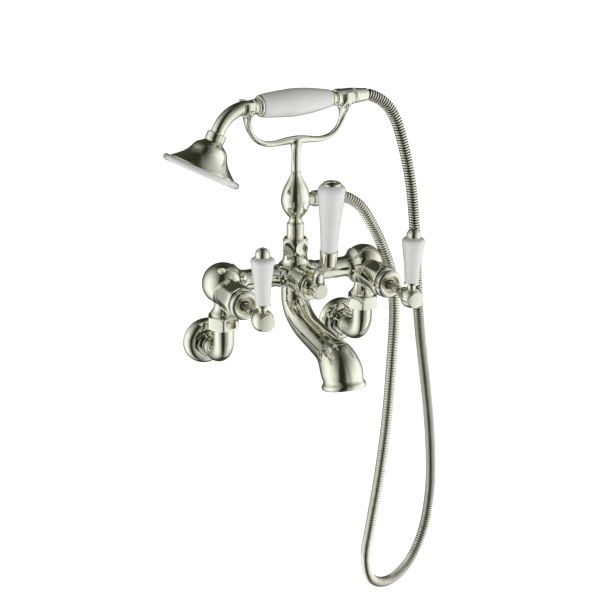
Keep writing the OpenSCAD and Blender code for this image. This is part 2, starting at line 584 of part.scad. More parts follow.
module rose_bell() color(nickel) along_rose() difference() {
    turned(concat([[0, rose_bell_at], [9.4, rose_bell_at]], smooth([[10.4, rose_bell_at + 0.6], [13.4, 12.6],
        [17, 15.4], [19.4, 19], [21.6, 24], [25.4, 29.5], [31, 35], [36.4, 39.4]]),
        [[36.6, rose_ring_at], [0, rose_ring_at]]));
    translate([0, 0, rose_bell_at]) drill(5.5, 8);
    turned(concat([[0, 15.5], [5.5, 15.5]], smooth([[13.6, 17.6], [16.6, 20.4], [19, 25], [23, 30.6],
        [28.4, 36], [32, 39.6]]), [[32, rose_ring_at + 1], [0, rose_ring_at + 1]]));
}
module rose_ring() color(white) along_rose() translate([0, 0, rose_ring_at]) difference() {
    turned(concat([[0, 0], [rose_r - 3.6, 0]],
        arc([rose_r - 3.4, rose_ring_h / 2], [3.4, rose_ring_h / 2], -80, 80, 8),
        [[rose_r - 3.6, rose_ring_h], [0, rose_ring_h]]));
    drill(31, rose_ring_h);
}
module spray_plate() color(nickel) along_rose() translate([0, 0, rose_ring_at + 2.4]) difference() {
    turned([[0, 0], [31 - gap, 0], [31 - gap, 3.4], [30, 4], [0, 5]]);
    for (i = [1:3], k = [0:6 * i - 1]) rotate(60 * k / i) translate([8.6 * i, 0, 0]) drill(0.9, 5);
    drill(0.9, 5);
}

// ---- Hose ----
// Route from the handset to the outlet: the strand hangs from the handset, loops below and returns
// Both ends leave their nuts straight
hose_way = [cos(handset_tilt) * cos(cradle_turn), cos(handset_tilt) * sin(cradle_turn), sin(handset_tilt)];
hose_from = [0, -reach, handset_z] + (hose_nut_end + handset_shift) * hose_way;
hose_end = [outlet_nut_x, -reach, outlet_z];
hose_straight = 2;
hose_bends = [[104.2, -53.2, 287.2], [114, -52.5, 281.7], [123.8, -52.1, 272.9], [132.8, -51.9, 259.6],
    [140.4, -52, 240.9], [149.5, -52, 212], [156.5, -53, 181], [162, -53, 146], [168, -52, 97],
    [174, -50, 42], [183, -47, -18], [196, -43, -84], [208, -38, -145], [216, -35, -205],
    [218, -34, -260], [207, -39, -313], [180, -50, -349.5], [140, -67, -358.5], [104, -83, -337.5],
    [88, -94, -295], [92, -97, -245], [103, -94, -185], [115, -87, -115], [125, -77, -40],
    [131, -69, 25], [128, -63, 73], [117, -61, 106], [102.1, -61, 135], [86.5, -62, 158.6],
    [71.8, -62, 171]];
hose_route = concat([hose_from], smooth(concat([hose_from + hose_straight * hose_way], hose_bends,
    [hose_end + [hose_straight, 0, 0]]), 2), [hose_end]);
module hose() color(nickel)
    sweep(hose_route, [for (q = hose_route) [hose_d / 2, hose_d / 2]], [0, 1, 0], 10);

wall_flange(left);  // wall_flange_left
wall_flange(right);  // wall_flange_right
inlet_elbow(left);  // inlet_elbow_left
inlet_elbow(right);  // inlet_elbow_right
union_nut(left);  // union_nut_left
union_nut(right);  // union_nut_right
union_washers();
valve_body(left);  // valve_body_left
valve_body(right);  // valve_body_right
tapping_plug();
cartridge(left);  // cartridge_left
cartridge(right);  // cartridge_right
ceramic_disc(left);  // ceramic_disc_left
ceramic_disc(right);  // ceramic_disc_right
spindle_seals();
bonnet(left);  // bonnet_left
bonnet(right);  // bonnet_right
shroud(left);  // shroud_left
shroud(right);  // shroud_right
spindle(left);  // spindle_left
spindle(right);  // spindle_right
lever_hub(left);  // lever_hub_left
lever_hub(right);  // lever_hub_right
lever_ceramic(left);  // lever_ceramic_left
lever_ceramic(right);  // lever_ceramic_right
lever_rod(left);  // lever_rod_left
lever_rod(right);  // lever_rod_right
lever_finial(left);  // lever_finial_left
lever_finial(right);  // lever_finial_right
bridge_bar(left);  // bridge_bar_left
bridge_bar(right);  // bridge_bar_right
centre_body();
diverter_bezel();
diverter_cartridge();
diverter_shroud();
diverter_spindle();
diverter_arm();
diverter_collar();
diverter_ceramic();
diverter_rod();
diverter_cap();
spout();
spout_insert();
collar_nut();
riser_tube();
riser_bulb();
cradle_yoke();
check_valve();
outlet_washer();
outlet_hose_nut();
hose();
handset_elbow();
handle_ring();
handle_ceramic();
handle_ferrule();
handset_tube();
handset_hose_nut();
rose_bell();
rose_ring();
spray_plate();
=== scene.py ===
"""Looks of the wall mounted bath and shower mixer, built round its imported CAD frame.

Metres, +Z up, the wall is the plane y = 0 and the mixer stands out along -Y.
"""
import math

import bmesh
import bpy
import numpy as np
from mathutils import Matrix, Vector


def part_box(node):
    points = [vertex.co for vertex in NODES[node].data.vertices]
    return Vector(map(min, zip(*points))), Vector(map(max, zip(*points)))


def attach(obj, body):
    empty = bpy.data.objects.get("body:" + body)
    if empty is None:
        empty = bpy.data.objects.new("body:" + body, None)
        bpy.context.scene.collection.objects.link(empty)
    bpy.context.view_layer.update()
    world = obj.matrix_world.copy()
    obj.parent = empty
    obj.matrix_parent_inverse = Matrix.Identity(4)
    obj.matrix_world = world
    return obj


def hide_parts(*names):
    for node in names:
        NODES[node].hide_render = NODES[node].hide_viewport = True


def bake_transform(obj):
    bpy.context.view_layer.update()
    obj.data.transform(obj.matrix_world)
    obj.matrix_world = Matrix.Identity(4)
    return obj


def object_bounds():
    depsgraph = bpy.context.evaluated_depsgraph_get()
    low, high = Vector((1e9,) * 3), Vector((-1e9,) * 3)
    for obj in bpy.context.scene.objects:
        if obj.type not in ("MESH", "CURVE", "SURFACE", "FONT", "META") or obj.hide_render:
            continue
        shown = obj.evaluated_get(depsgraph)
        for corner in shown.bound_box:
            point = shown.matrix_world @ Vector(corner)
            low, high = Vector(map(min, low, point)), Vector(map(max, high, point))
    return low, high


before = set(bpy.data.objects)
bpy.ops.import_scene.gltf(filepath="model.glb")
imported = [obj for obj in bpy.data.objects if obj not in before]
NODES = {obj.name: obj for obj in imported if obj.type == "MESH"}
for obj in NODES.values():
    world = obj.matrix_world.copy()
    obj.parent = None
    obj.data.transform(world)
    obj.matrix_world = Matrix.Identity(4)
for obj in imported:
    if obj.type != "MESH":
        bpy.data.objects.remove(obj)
cad_box = [list(corner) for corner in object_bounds()]
MM = 0.001


# ---- Camera ----
CAMERA_AZIMUTH = math.radians(-25.5)
CAMERA_ELEVATION = math.radians(19.5)
CAMERA_ROLL = math.radians(0.5)
CAMERA_DISTANCE = 1.33
CAMERA_AIM = Vector((-0.002, -0.080, 0.0635))
CAMERA_LENS = 69


def camera():
    a, e = CAMERA_AZIMUTH, CAMERA_ELEVATION
    back = Vector((math.sin(a) * math.cos(e), -math.cos(a) * math.cos(e), math.sin(e)))
    right = Vector((math.cos(a), math.sin(a), 0))
    up = back.cross(right)
    c, s = math.cos(CAMERA_ROLL), math.sin(CAMERA_ROLL)
    turned_right, turned_up = right * c + up * s, up * c - right * s
    data = bpy.data.cameras.new("camera")
    data.lens, data.sensor_width = CAMERA_LENS, 36
    data.clip_start, data.clip_end = 0.05, 50
    shot = bpy.data.objects.new("camera", data)
    bpy.context.collection.objects.link(shot)
    shot.matrix_world = Matrix.Translation(CAMERA_AIM + back * CAMERA_DISTANCE) @ Matrix(
        (turned_right, turned_up, back)).transposed().to_4x4()
    bpy.context.scene.camera = shot


camera()


# ---- Mesh helpers ----
def smooth_path(points, steps):
    """Catmull-Rom curve through the points, with that many steps between neighbours."""
    p = [np.array(q, float) for q in points]
    p = p[:1] + p + p[-1:]
    out = []
    for a, b, c, d in zip(p, p[1:], p[2:], p[3:]):
        for i in range(steps):
            t = i / steps
            out.append(b + t * (c - a) / 2 + t * t * (a - 2.5 * b + 2 * c - d / 2)
                       + t ** 3 * (1.5 * (b - c) + (d - a) / 2))
    out.append(p[-2])
    return np.array(out)


def arc_lengths(points):
    return np.concatenate([[0], np.cumsum(np.linalg.norm(np.diff(points, axis=0), axis=1))])


def resample(points, spacing):
    """The same line with points an even distance apart."""
    s = arc_lengths(points)
    even = np.linspace(0, s[-1], max(2, int(round(s[-1] / spacing)) + 1))
    return np.stack([np.interp(even, s, points[:, k]) for k in range(3)], 1)


def unit(v):
    return v / np.linalg.norm(v)


def frames(points, side):
    """A tangent and two normals at each point, carried along without twist."""
    tangents = np.gradient(points, axis=0)
    tangents /= np.linalg.norm(tangents, axis=1)[:, None]
    first = np.array(side, float)
    sides, others = [], []
    for t in tangents:
        first = unit(first - t * (first @ t))
        sides.append(first)
        others.append(np.cross(t, first))
    return tangents, np.array(sides), np.array(others)


def rings_mesh(bm, rings, hollow=False):
    """Joins closed rings of points into a skin.

    A hollow one joins its last ring to its first; any other has both ends capped.
    """
    made = [[bm.verts.new(p) for p in ring] for ring in rings]
    n = len(made[0])
    for a, b in zip(made, made[1:] + made[:1] if hollow else made[1:]):
        for k in range(n):
            bm.faces.new((a[k], a[(k + 1) % n], b[(k + 1) % n], b[k]))
    if not hollow:
        bm.faces.new(list(reversed(made[0])))
        bm.faces.new(made[-1])


def tube_rings(points, radii, side, sides):
    """Elliptic rings along a line: radii holds [along side, across side] at each point."""
    _, u, v = frames(points, side)
    angles = np.arange(sides) * 2 * math.pi / sides
    return [p + np.outer(np.cos(angles) * r[0], a) + np.outer(np.sin(angles) * r[1], b)
            for p, r, a, b in zip(points, radii, u, v)]


def lathe_rings(outline, sides, matrix):
    """Rings of a turned shape: outline holds [radius, height] along the matrix's Z."""
    angles = np.arange(sides) * 2 * math.pi / sides
    m = np.array(matrix)
    rings = []
    for r, h in outline:
        r = max(r, 1e-5)
        p = np.stack([r * np.cos(angles), r * np.sin(angles), np.full(sides, h)], 1)
        rings.append(p @ m[:3, :3].T + m[:3, 3])
    return rings


def finish_mesh(bm, name, smooth=True):
    bmesh.ops.recalc_face_normals(bm, faces=bm.faces[:])
    mesh = bpy.data.meshes.new(name)
    bm.to_mesh(mesh)
    bm.free()
    if smooth:
        mesh.polygons.foreach_set("use_smooth", [True] * len(mesh.polygons))
    piece = bpy.data.objects.new(name, mesh)
    bpy.context.collection.objects.link(piece)
    return piece


def middle(node):
    low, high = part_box(node)
    return (Vector(low) + Vector(high)) / 2


# ---- Hose: the free cord comes first ----
HOSE_D = 13.5 * MM
RIB_PITCH = 3.3 * MM
RIB_DEPTH = 1.1 * MM
# Share of each turn that is crown rather than groove, and how flat the crown is
CROWN_SHARE = 0.7
CROWN_FLATNESS = 0.35
HOSE_SIDES = 24
HOSE_STEP = 0.4 * MM
# The route of the CAD tube, in millimetres: from the handset's nut, round the loop, to the outlet
HOSE_FROM, HOSE_WAY = np.array([91.64, -53.98, 291.11]), np.array([0.99604, 0.08714, 0.01745])
HOSE_TO, HOSE_STRAIGHT = np.array([56, -62, 177.5]), 2
HOSE_BENDS = [
    (104.2, -53.2, 287.2), (114, -52.5, 281.7), (123.8, -52.1, 272.9), (132.8, -51.9, 259.6),
    (140.4, -52, 240.9), (149.5, -52, 212), (156.5, -53, 181), (162, -53, 146), (168, -52, 97),
    (174, -50, 42), (183, -47, -18), (196, -43, -84), (208, -38, -145), (216, -35, -205),
    (218, -34, -260), (207, -39, -313), (180, -50, -349.5), (140, -67, -358.5), (104, -83, -337.5),
    (88, -94, -295), (92, -97, -245), (103, -94, -185), (115, -87, -115), (125, -77, -40),
    (131, -69, 25), (128, -63, 73), (117, -61, 106), (102.1, -61, 135), (86.5, -62, 158.6),
    (71.8, -62, 171)]
hose_curve = smooth_path(
    [HOSE_FROM + HOSE_STRAIGHT * HOSE_WAY, *HOSE_BENDS, HOSE_TO + (HOSE_STRAIGHT, 0, 0)], 12)
hose_line = resample(np.vstack([HOSE_FROM, hose_curve, HOSE_TO]) * MM, HOSE_STEP)


def rib_phase():
    """How far round one turn of the wound strip each point of the hose's skin is."""
    turn = np.arange(HOSE_SIDES) / HOSE_SIDES
    return (arc_lengths(hose_line)[:, None] / RIB_PITCH + turn[None, :]) % 1


def hose():
    """A strip wound into a tube: each turn is a rounded crown with a narrow groove beside it."""
    bm = bmesh.new()
    angles = np.arange(HOSE_SIDES) * 2 * math.pi / HOSE_SIDES
    _, u, v = frames(hose_line, (0, 1, 0))
    crown = np.sin(math.pi * np.minimum(1, rib_phase() / CROWN_SHARE)) ** CROWN_FLATNESS
    radii = HOSE_D / 2 - RIB_DEPTH * (1 - crown)
    rings_mesh(bm, [p + np.outer(np.cos(angles) * r, a) + np.outer(np.sin(angles) * r, b)
                    for p, r, a, b in zip(hose_line, radii, u, v)])
    return finish_mesh(bm, "ribbed_hose")


hose_piece = hose()
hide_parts("hose")
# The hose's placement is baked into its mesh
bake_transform(hose_piece)


# ---- Materials ----
class Shader:
    """A principled material and a short way to add nodes to it."""

    def __init__(self, name, color, **sockets):
        self.material = bpy.data.materials.new(name)
        self.material.use_nodes = True
        self.tree = self.material.node_tree
        self.surface = self.tree.nodes["Principled BSDF"]
        self.surface.inputs["Base Color"].default_value = (*color, 1)
        for key, value in sockets.items():
            self.surface.inputs[key.replace("_", " ").title().replace("Ior", "IOR")].default_value = value
        self.place = self.add("ShaderNodeTexCoord").outputs["Object"]

    def add(self, kind, **settings):
        node = self.tree.nodes.new(kind)
        for key, value in settings.items():
            setattr(node, key, value)
        return node

    def link(self, out, socket):
        self.tree.links.new(out, socket)

    def noise(self, scale, detail=3, roughness=0.5):
        node = self.add("ShaderNodeTexNoise")
        node.inputs["Scale"].default_value = scale
        node.inputs["Detail"].default_value = detail
        node.inputs["Roughness"].default_value = roughness
        self.link(self.place, node.inputs["Vector"])
        return node.outputs["Fac"]

    def ramp(self, value, stops):
        """stops holds (position, colour) pairs."""
        node = self.add("ShaderNodeValToRGB")
        elements = node.color_ramp.elements
        while len(elements) < len(stops):
            elements.new(0.5)
        for element, (position, color) in zip(elements, stops):
            element.position = position
            element.color = (*color, 1)
        self.link(value, node.inputs["Fac"])
        return node.outputs["Color"]

    def span(self, value, low, high):
        node = self.add("ShaderNodeMapRange")
        node.inputs["To Min"].default_value = low
        node.inputs["To Max"].default_value = high
        self.link(value, node.inputs["Value"])
        return node.outputs["Result"]

    def bump(self, height, strength, distance):
        node = self.add("ShaderNodeBump")
        node.inputs["Strength"].default_value = strength
        node.inputs["Distance"].default_value = distance
        self.link(height, node.inputs["Height"])
        self.link(node.outputs["Normal"], self.surface.inputs["Normal"])

    def finish(self, color=None, roughness=None):
        if color is not None:
            self.link(color, self.surface.inputs["Base Color"])
        if roughness is not None:
            self.link(roughness, self.surface.inputs["Roughness"])
        return self.material


def metal(name, light, dark, smooth, rough, grain, relief):
    """Polished metal: warm patches, faint polishing haze and a trace of waviness."""
    s = Shader(name, light, metallic=1.0, ior=1.5)
    patches = s.noise(38, 4)
    haze = s.noise(grain, 5, 0.65)
    s.bump(s.noise(55, 2), relief, 0.0006)
    return s.finish(s.ramp(patches, [(0.3, dark), (0.7, light)]), s.span(haze, smooth, rough))


def ceramic(name, light, dark):
    """Glazed ceramic: white body under a clear glaze that is not perfectly even."""
    s = Shader(name, light, roughness=0.12, coat_weight=1.0, coat_roughness=0.03, ior=1.5)
    s.bump(s.noise(120, 2), 0.05, 0.0004)
    return s.finish(s.ramp(s.noise(45, 3), [(0.3, dark), (0.7, light)]), s.span(s.noise(90, 3), 0.08, 0.2))


def dull(name, light, dark, low, high):
    """Rubber, fibre and plastic: a fine mottled grain."""
    s = Shader(name, light)
    grain = s.noise(260, 6, 0.7)
    s.bump(grain, 0.25, 0.0002)
    return s.finish(s.ramp(grain, [(0.25, dark), (0.75, light)]), s.span(grain, low, high))


FINISHES = {
    "polished_nickel": metal(
        "polished_nickel", (0.79, 0.80, 0.70), (0.74, 0.75, 0.64), 0.03, 0.08, 420, 0.05),
    "spray_nickel": metal(
        "spray_nickel", (0.74, 0.73, 0.66), (0.66, 0.65, 0.57), 0.12, 0.22, 520, 0.1),
    "hose_metal": metal(
        "hose_metal", (0.90, 0.90, 0.80), (0.84, 0.84, 0.73), 0.1, 0.2, 600, 0.05),
    # Near-black metal for the hose's grooves: painted shade where the grooves fall into shadow
    "hose_groove_painted_shade": metal(
        "hose_groove_painted_shade", (0.05, 0.05, 0.03), (0.03, 0.03, 0.015), 0.3, 0.45, 600, 0.05),
    "white_ceramic": ceramic("white_ceramic", (0.79, 0.79, 0.79), (0.76, 0.76, 0.76)),
    "technical_ceramic": ceramic("technical_ceramic", (0.82, 0.80, 0.74), (0.78, 0.76, 0.7)),
    "plain_brass": metal(
        "plain_brass", (0.78, 0.60, 0.30), (0.68, 0.50, 0.23), 0.2, 0.38, 500, 0.15),
    "seal_rubber": dull("seal_rubber", (0.035, 0.035, 0.037), (0.02, 0.02, 0.02), 0.6, 0.8),
    "fibre_washer": dull("fibre_washer", (0.42, 0.22, 0.14), (0.32, 0.15, 0.09), 0.7, 0.9),
    "white_plastic": dull("white_plastic", (0.86, 0.86, 0.84), (0.80, 0.80, 0.77), 0.35, 0.5),
}


def paint(piece, finish):
    piece.data.materials.clear()
    piece.data.materials.append(FINISHES[finish])
    return piece


def repaint_frame():
    """Each CAD node keeps its shape and takes the procedural finish of its record slot."""
    for node in NODES.values():
        for s in node.material_slots:
            plain = s.material.name.split(".")[0]
            s.material = FINISHES[plain]


paint(hose_piece, "hose_metal")
# The groove faces take the near-black metal: painted shade down in the hose's grooves
hose_piece.data.materials.append(FINISHES["hose_groove_painted_shade"])
groove_shade_faces = (rib_phase()[:-1] > CROWN_SHARE).ravel().astype(int)
hose_piece.data.polygons.foreach_set("material_index", np.append(groove_shade_faces, [0, 0]))
repaint_frame()


# ---- Places taken from the frame ----
REACH = -middle("riser_tube").y
VALVE_X = middle("union_nut_right").x
SPINDLE_Z = middle("cartridge_right").z
DIVERTER_Z = middle("diverter_cartridge").z


def along(origin, axis, side=(0, 0, 1)):
    """A matrix whose Z runs along axis from origin."""
    z = Vector(axis).normalized()
    x = (Vector(side) - z * Vector(side).dot(z)).normalized()
    return Matrix.Translation(origin) @ Matrix((x, z.cross(x), z)).transposed().to_4x4()


def millimetres(outline):
    """Pairs of millimetres as metres."""
    return [(r * MM, h * MM) for r, h in outline]


def curve(points, steps=6):
    """A smooth outline through [radius, height] points."""
    return [(p[0], p[1]) for p in smooth_path([(r, h, 0) for r, h in points], steps)]


def turned_piece(name, outline, matrix, sides=96, closed=False):
    """A shape turned round the matrix's Z, in millimetres.

    The outline is closed and gives a ring, or with closed=True its two ends become flat faces.
    """
    bm = bmesh.new()
    rings_mesh(bm, lathe_rings(millimetres(outline), sides, matrix), hollow=not closed)
    return finish_mesh(bm, name)


def show(piece, body, finish, *nodes):
    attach(piece, body)
    if nodes:
        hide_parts(*nodes)
    return paint(piece, finish)


# ---- Nuts, bonnets and bell fronts ----
def many_sided(count, apothem, turn, shoulders, bore, matrix, sides=144):
    """Rings of a hollow prism with crisp flats, in millimetres.

    shoulders holds [radius it is turned down to, height] outside, and bore [radius, height] inside.
    """
    angles = np.arange(sides) * 2 * math.pi / sides
    flats = math.radians(turn) + np.arange(count) * 2 * math.pi / count
    facing = np.maximum(0, np.cos(angles[:, None] - flats[None, :])) / apothem
    outside = (facing ** 90).sum(1) ** (-1 / 90)
    m = np.array(matrix)
    rings = []
    for limit, height in shoulders:
        r = (outside ** -16 + limit ** -16.0) ** (-1 / 16)
        rings.append(np.stack([r * np.cos(angles), r * np.sin(angles), np.full(sides, height)], 1))
    for r, height in bore:
        rings.append(np.stack([r * np.cos(angles), r * np.sin(angles), np.full(sides, height)], 1))
    return [ring * MM @ m[:3, :3].T + m[:3, 3] for ring in rings]


# Half of the width across the flats
NUT_APOTHEM = 17.5
BONNET_APOTHEM = 18


def union_nut(side, turn):
    node = "union_nut_left" if side < 0 else "union_nut_right"
    low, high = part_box(node)
    height = (high[2] - low[2]) / MM
    shoulders = curve([(16.4, 0), (18.4, 0.4), (20.2, 1.7), (20.8, 3.2)], 3) + curve(
        [(20.8, height - 3.2), (20.2, height - 1.7), (18.4, height - 0.4), (16.4, height)], 3)
    bore = [(14.1, height), (14.1, 4.3), (12.3, 4.3), (12.3, 0)]
    bm = bmesh.new()
    rings_mesh(bm, many_sided(6, NUT_APOTHEM, turn, shoulders, bore, Matrix.Translation(
        (side * VALVE_X, -REACH, low[2]))), hollow=True)
    show(finish_mesh(bm, "hex_" + node), "mixer", "polished_nickel", node)


union_nut(-1, 38)
union_nut(1, 33)


def valve_front(side):
    name = "left" if side < 0 else "right"
    low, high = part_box("bonnet_" + name)
    back = along((side * VALVE_X, high[1], SPINDLE_Z), (0, -1, 0))
    bm = bmesh.new()
    length = (high[1] - low[1]) / MM
    shoulders = curve([(16.6, 0), (18.3, 0.7), (19.2, 2.2), (20.4, 6)], 4) + [(20.4, length - 12)]
    shoulders += curve([(20.2, length - 9), (19.0, length - 4.4), (17.3, length - 1.7),
                        (15.4, length - 0.2), (14.6, length)], 5)
    bore = [(11.2, length), (11.2, 9.2), (15.7, 9.1), (15.7, 0)]
    rings_mesh(bm, many_sided(8, BONNET_APOTHEM, 22.5, shoulders, bore, back), hollow=True)
    show(finish_mesh(bm, "octagonal_bonnet_" + name), "mixer", "polished_nickel", "bonnet_" + name)
    # The bell has a dark groove behind it, a full round rim and a dished face round the spindle
    rim = curve([(14.2, 0), (14.2, 1.4), (15.2, 2.2), (16.3, 3.4), (16.6, 5.0), (16.0, 6.9), (14.2, 8.6),
                 (12.0, 9.3), (10.2, 8.9), (9.2, 7.6), (8.7, 5.8)], 5)
    dish = [(8.4, 5.2), (7.9, 5.2), (7.6, 5.8)] + curve([(7.5, 6.6), (7.0, 7.4), (6.3, 7.5), (5.9, 6.8)], 3)
    inside = [(5.4, 5.6), (5.4, 4.6), (9.1, 4.5), (9.1, 0)]
    front = along((side * VALVE_X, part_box("shroud_" + name)[1][1], SPINDLE_Z), (0, -1, 0))
    show(turned_piece("bell_front_" + name, rim + dish + inside, front), "mixer", "polished_nickel",
         "shroud_" + name)
    # The flat polished face on the end of the lever's hub
    face = along((side * VALVE_X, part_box("lever_hub_" + name)[0][1] + 0.3 * MM, SPINDLE_Z), (0, -1, 0))
    plate = [(9.2, -0.2), (9.2, 0.1), (9.0, 0.35), (8.8, 0.38)]
    show(turned_piece("hub_face_" + name, plate, face, closed=True), "lever_" + name, "polished_nickel")


for hand in (-1, 1):
    valve_front(hand)


# ---- Spout ----
MOUTH_TILT = math.radians(15)
LIP_R = 24.7
SPOUT_WALL = 3.5


def spout():
    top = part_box("centre_body")[0][2] / MM
    mouth = middle("spout_insert")
    out = -mouth.y / MM - math.sin(MOUTH_TILT)
    low = mouth.z / MM - math.cos(MOUTH_TILT)
    reach = REACH / MM
    slope, drop = math.sin(MOUTH_TILT), math.cos(MOUTH_TILT)
    # Distance from the wall, height and radius along the centre line; the last point only steers its end
    line = smooth_path([
        (reach, top, 16), (reach + 1.5, 56.5, 16), (reach + 11, 45, 16), (reach + 32, 36, 16),
        (reach + 62, 31.5, 16.3), (out - 37, 28.5, 17.8), (out - 19.5, 24, 21.2), (out - 8, 15.5, 23.1),
        (out - 9.4 * slope, low + 9.4 * drop, 22.6), (out - 2 * slope, low + 2 * drop, 22)], 8)[:-8]
    centre = np.stack([np.zeros(len(line)), -line[:, 0], line[:, 1]], 1) * MM
    sides = 96
    outer = tube_rings(centre, [(r * MM, r * MM) for r in line[:, 2]], (1, 0, 0), sides)
    inner = tube_rings(centre, [((r - SPOUT_WALL) * MM,) * 2 for r in line[:, 2]], (1, 0, 0), sides)
    down = along((0, -out * MM, low * MM), (0, -math.sin(MOUTH_TILT), -math.cos(MOUTH_TILT)), (1, 0, 0))
    lip = curve([(22.3, -8.6), (22.1, -7.6), (22.3, -6.2), (23.1, -4.4), (24.2, -2.6), (LIP_R, -0.6),
                 (LIP_R - 0.4, 1.2), (LIP_R - 1.6, 2.4), (LIP_R - 3.4, 2.7), (19.4, 2.3), (18.6, 1.6)], 5)
    lip += [(18.5, 0), (18.5, -5)]
    bm = bmesh.new()
    rings_mesh(bm, outer + lathe_rings(millimetres(lip), sides, down) + inner[::-1][4:], hollow=True)
    return finish_mesh(bm, "curved_spout")


show(spout(), "mixer", "polished_nickel", "spout")


# ---- Cast pieces: overlapping solids melted together ----
def melted(name, solids, cutters, voxel, polish):
    """One skin round overlapping closed solids, less the cutters, with softened edges."""
    def joined(parts, label):
        bm = bmesh.new()
        for part in parts:
            part(bm)
        return finish_mesh(bm, label)

    piece = joined(solids, name)
    first = piece.modifiers.new("melt", "REMESH")
    first.mode, first.voxel_size = "VOXEL", voxel
    cutter = joined(cutters, name + "_cutter")
    cut = piece.modifiers.new("cut", "BOOLEAN")
    cut.operation, cut.solver, cut.object = "DIFFERENCE", "EXACT", cutter
    again = piece.modifiers.new("melt_again", "REMESH")
    again.mode, again.voxel_size = "VOXEL", voxel
    soft = piece.modifiers.new("polish", "SMOOTH")
    soft.factor, soft.iterations = 0.5, polish
    bpy.context.view_layer.update()
    done = bpy.data.meshes.new_from_object(piece.evaluated_get(bpy.context.evaluated_depsgraph_get()))
    piece.modifiers.clear()
    piece.data = done
    done.polygons.foreach_set("use_smooth", [True] * len(done.polygons))
    bpy.data.objects.remove(cutter)
    return piece


def add_tube(points, radii, side):
    """A part for melted(): an elliptic rod along points in metres."""
    line = smooth_path(points, 6)
    wide = smooth_path([(a, b, 0) for a, b in radii], 6)[:, :2]
    return lambda bm: rings_mesh(bm, tube_rings(line, wide, side, 32))


def add_turned(outline, matrix):
    """A part for melted(): a shape turned from [radius, height] in millimetres."""
    return lambda bm: rings_mesh(bm, lathe_rings(millimetres(outline), 48, matrix))


def add_prism(outline, matrix, thickness):
    """A part for melted(): a flat outline in metres, centred on the matrix's plane."""
    def build(bm):
        rings_mesh(bm, [np.array([tuple(matrix @ Vector((x, y, z))) for x, y in outline])
                        for z in (-thickness / 2, thickness / 2)])
    return build


# ---- Cradle ----
CRADLE_TURN = math.radians(5)
HANDSET_TILT = math.radians(1)
# What lies in the two forks, the room round it, and the forks' own sizes
TUBE_R, FERRULE_R, FORK_PLAY = 7.6, 9.4, 1.8
FORK_WALL, FORK_THICK, PRONG = 3.6, 8.0, 4.2
FORK_X = 61.5


def cradle():
    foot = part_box("cradle_yoke")[0][2]
    top = middle("handset_tube").z / MM + 0.035
    turn = Matrix.Translation((0, -REACH, 0)) @ Matrix.Rotation(CRADLE_TURN, 4, "Z")

    def placed(x, y, z):
        return turn @ Vector((x * MM, y * MM, z * MM))

    stem = curve([(5.3, 0), (5.1, 5.5), (5.0, 18.5), (5.2, 24), (5.8, 28.5), (7.0, 32), (7.4, 34)], 5) + [
        (6, 37), (0, 38.5)]
    solids = [add_turned(stem, turn @ Matrix.Translation((0, 0, foot)))]
    half = [(0, 247.5), (13, 247), (28, 245.6), (41, 247), (51, 252.5), (57.5, 261), (60.5, 271)]
    bow = [(-x, z) for x, z in half[:0:-1]] + half
    # Thickest where it meets the stem
    girth = [(3.7 + 1.3 * math.exp(-(x / 19) ** 2), 3.1 + 1.5 * math.exp(-(x / 20) ** 2)) for x, z in bow]
    sideways = turn.to_3x3() @ Vector((0, 1, 0))
    solids.append(add_tube([placed(x, 0, z) for x, z in bow], millimetres(girth), sideways))
    cutters = []
    for side, r in ((-1, TUBE_R), (1, FERRULE_R)):
        inner = r + FORK_PLAY
        outer = inner + FORK_WALL
        z = top + side * FORK_X * math.tan(HANDSET_TILT) + FORK_PLAY - 0.4
        across = turn @ along((side * FORK_X * MM, 0, z * MM), (1, 0, 0), (0, 1, 0))
        # Round below, straight prongs with round tips above; x of the outline is +Y and y is +Z
        cup = [(outer * math.cos(t), outer * math.sin(t)) for t in np.linspace(math.pi, 2 * math.pi, 25)]
        rounding = [(outer - FORK_WALL / 2 * (1 - math.cos(t)), PRONG + FORK_WALL / 2 * math.sin(t))
                    for t in np.linspace(0.3, math.pi / 2, 5)]
        cup += [(outer, PRONG)] + rounding + [(-x, y) for x, y in rounding[::-1]] + [(-outer, PRONG)]
        solids.append(add_prism([(x * MM, y * MM) for x, y in cup], across, FORK_THICK * MM))
        # The end of the bow flares into the saddle
        rise = [(57.5, 261), (60.3, 267), (61.3, 273), (61.5, 279), (61.5, 285)]
        flare = [(3.7, 3.4), (4.6, 3.4), (7.0, 3.4), (outer - 3.0, 3.4), (outer - 1.0, 3.4)]
        solids.append(add_tube([placed(side * x, 0, y) for x, y in rise], millimetres(flare), sideways))
        groove = [(inner * math.cos(t), inner * math.sin(t)) for t in np.linspace(math.pi, 2 * math.pi, 33)]
        groove += [(inner, 20), (-inner, 20)]
        cutters.append(add_prism([(x * MM, y * MM) for x, y in groove], across, 30 * MM))
    return melted("cradle_casting", solids, cutters, 0.5 * MM, 16)


show(cradle(), "mixer", "polished_nickel", "cradle_yoke")


# ---- Diverter arm ----
ARM_FOOT = (0, -146.5, 125)
ARM_LEAN = math.radians(3.5)


